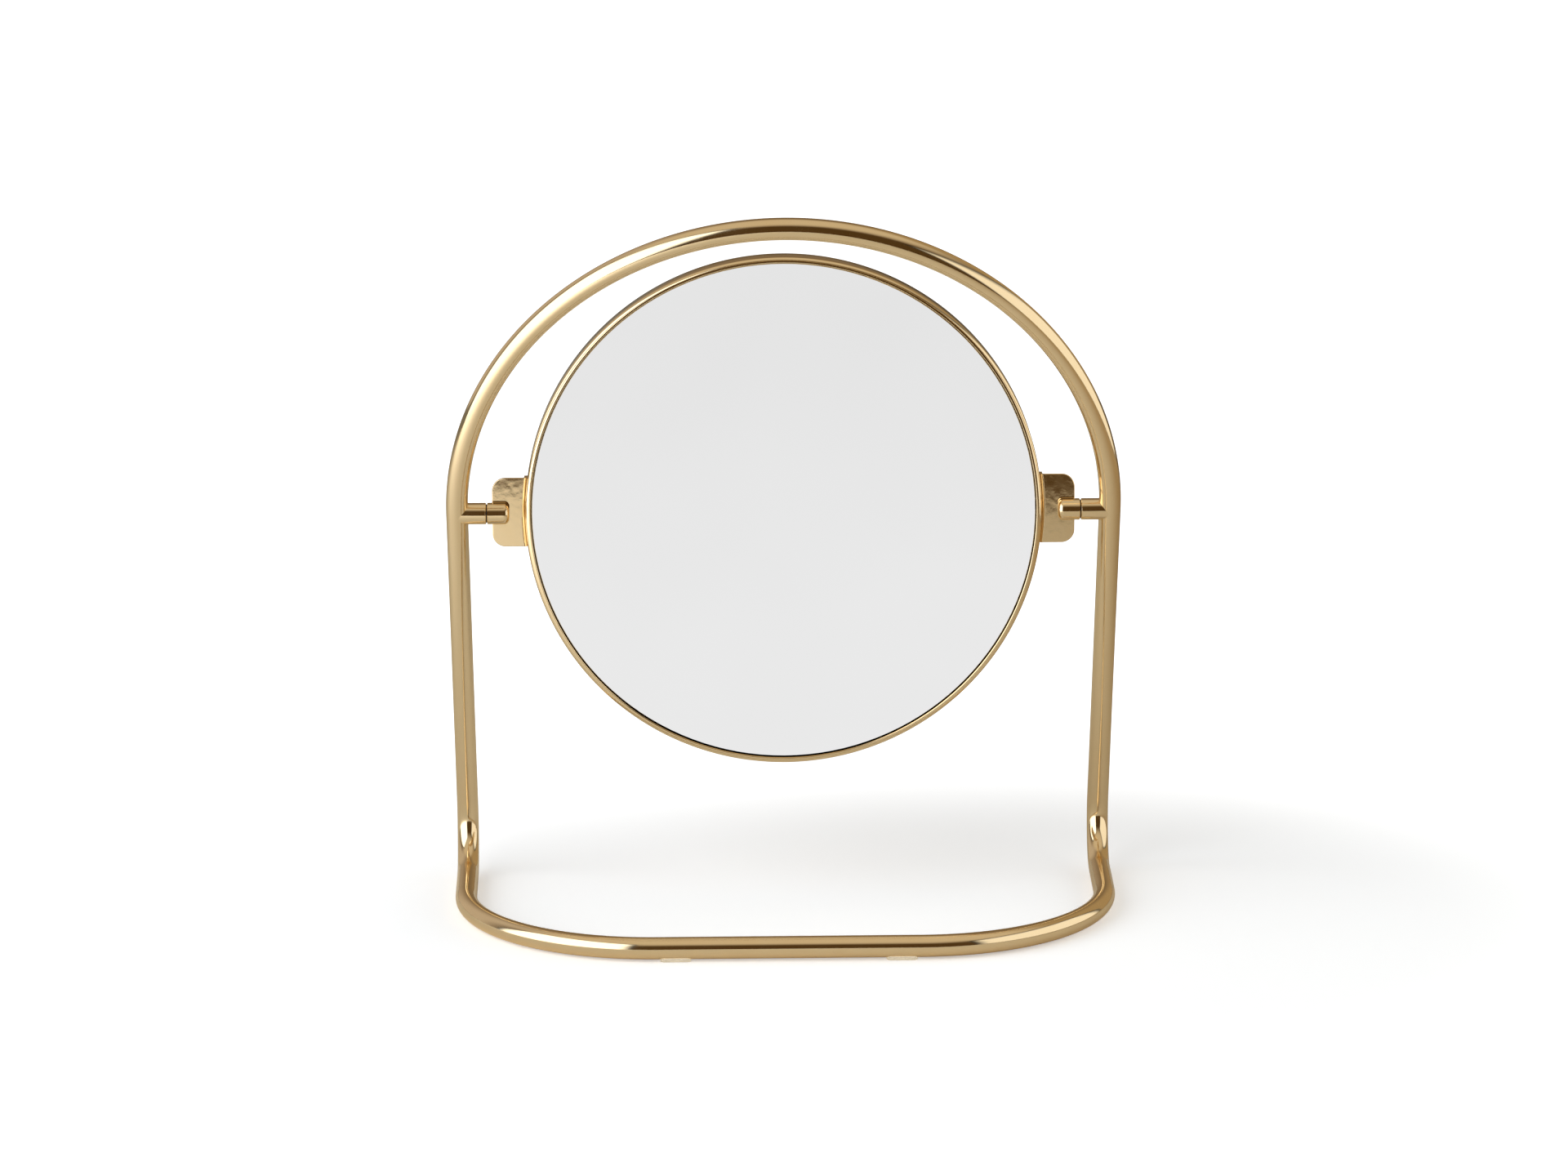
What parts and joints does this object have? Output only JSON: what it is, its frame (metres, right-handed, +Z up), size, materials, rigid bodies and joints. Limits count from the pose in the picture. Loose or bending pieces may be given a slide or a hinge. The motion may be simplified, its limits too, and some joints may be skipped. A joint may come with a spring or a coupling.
{
  "type": "tilting table mirror",
  "caption": "Round mirror in a slim metal ring that tilts on two friction pivots inside a bent-tube stand, which leans forward over a flat base loop.",
  "frame": {"origin": "on the table, under the middle of the stand's footprint", "axes": "+Z up, +X to the right seen from the front along the pivot axis, +Y away from the viewer, so the glass faces -Y"},
  "size_m": [0.308, 0.1578, 0.3305],
  "materials": {
    "polished_brass": "polished and lacquered",
    "satin_brass": "satin, lacquered",
    "brushed_brass": "brushed round its middle, lacquered",
    "brass_rivet": "dressed flush",
    "mill_steel": "as drawn",
    "ground_steel": "ground",
    "plated_steel": "brass plated",
    "acetal": "black, turned",
    "clear_silicone": "clear, soft",
    "silvered_glass": "polished float glass, silvered behind",
    "foam_tape": "closed-cell foam, adhesive both sides",
    "hardboard": "pressed fibreboard, smooth"
  },
  "bodies": {
    "stand": {"stand_tube": "polished_brass", "seam_sleeve": "mill_steel", "pivot_boss_left": "polished_brass", "pivot_boss_right": "polished_brass", "friction_bush_left": "acetal", "friction_bush_right": "acetal", "foot_pad_front_left": "clear_silicone", "foot_pad_front_right": "clear_silicone", "foot_pad_rear_left": "clear_silicone", "foot_pad_rear_right": "clear_silicone"},
    "mirror": {"mirror_rim": "polished_brass", "mirror_glass": "silvered_glass", "glass_tape": "foam_tape", "backing_board": "hardboard", "board_tape": "foam_tape", "back_plate": "brushed_brass", "bracket_left": "satin_brass", "bracket_right": "satin_brass", "bracket_rivets_left": "brass_rivet", "bracket_rivets_right": "brass_rivet", "bracket_screw_left": "plated_steel", "bracket_screw_right": "plated_steel", "pivot_barrel_left": "polished_brass", "pivot_barrel_right": "polished_brass", "pivot_pin_left": "ground_steel", "pivot_pin_right": "ground_steel"}
  },
  "joints": [
    {"name": "mirror_tilt", "type": "hinge", "parent": "stand", "child": "mirror", "pos_m": [0, 0.01477, 0.18645], "axis": [1, 0, 0], "continuous": true}
  ]
}
